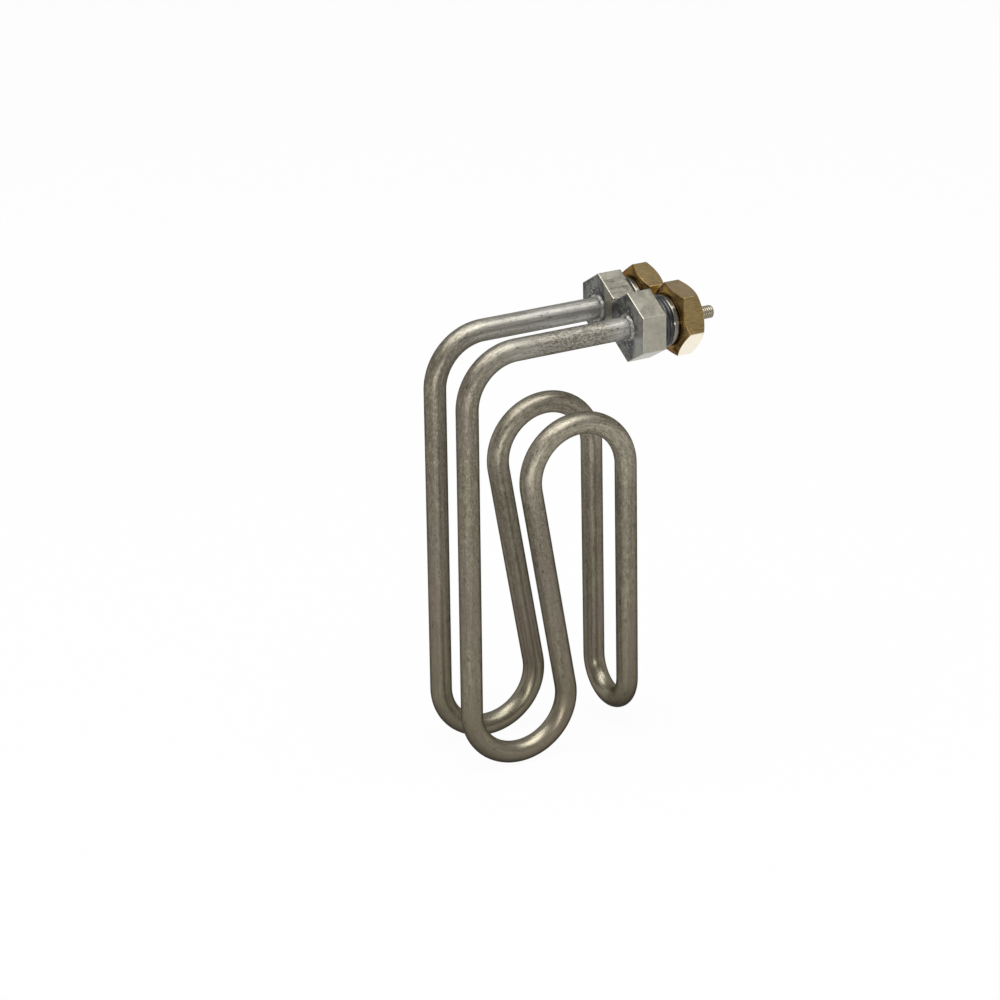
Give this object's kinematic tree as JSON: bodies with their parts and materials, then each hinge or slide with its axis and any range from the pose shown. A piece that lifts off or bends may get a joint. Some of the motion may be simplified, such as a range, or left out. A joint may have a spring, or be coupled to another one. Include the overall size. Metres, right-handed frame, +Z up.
{
  "type": "coffee brewer heating element",
  "caption": "Tubular immersion heating element bent double into hanging loops, with a hex bulkhead fitting, gasket, washer, brass nut and threaded terminal on each end.",
  "frame": {"origin": "midway between the axes of the two fittings, in the plane of the gaskets' outer faces, where the inside of the tank wall lies", "axes": "+X out of the tank along the terminals, +Z up, +Y to the right as seen from the terminal side"},
  "size_m": [0.1065, 0.0502, 0.1714],
  "materials": {
    "sheath": "dull drawn tube, stained by heat, with fine length-wise scratches",
    "magnesia": "packed pale powder",
    "coil_wire": "drawn resistance wire",
    "fitting_steel": "satin, drawn hex bar with turned faces",
    "weld": "rippled weld metal",
    "gasket_rubber": "matt moulded rubber",
    "plated_steel": "bright plated",
    "nut_brass": "brushed flats with turned chamfers",
    "pin_steel": "bright drawn",
    "stud_steel": "rolled thread, dull plated",
    "sealant": "cured silicone",
    "ceramic": "fired ceramic"
  },
  "bodies": {
    "root": {"sheath_tube": "sheath", "magnesia_filling": "magnesia", "resistance_coil": "coil_wire", "left_bulkhead_fitting": "fitting_steel", "right_bulkhead_fitting": "fitting_steel", "left_weld_fillet": "weld", "right_weld_fillet": "weld", "left_gasket": "gasket_rubber", "right_gasket": "gasket_rubber", "left_washer": "plated_steel", "right_washer": "plated_steel", "left_brass_nut": "nut_brass", "right_brass_nut": "nut_brass", "left_cold_pin": "pin_steel", "right_cold_pin": "pin_steel", "left_terminal_stud": "stud_steel", "right_terminal_stud": "stud_steel", "left_end_seal": "sealant", "right_end_seal": "sealant", "left_ceramic_insulator": "ceramic", "right_ceramic_insulator": "ceramic"}
  },
  "joints": []
}
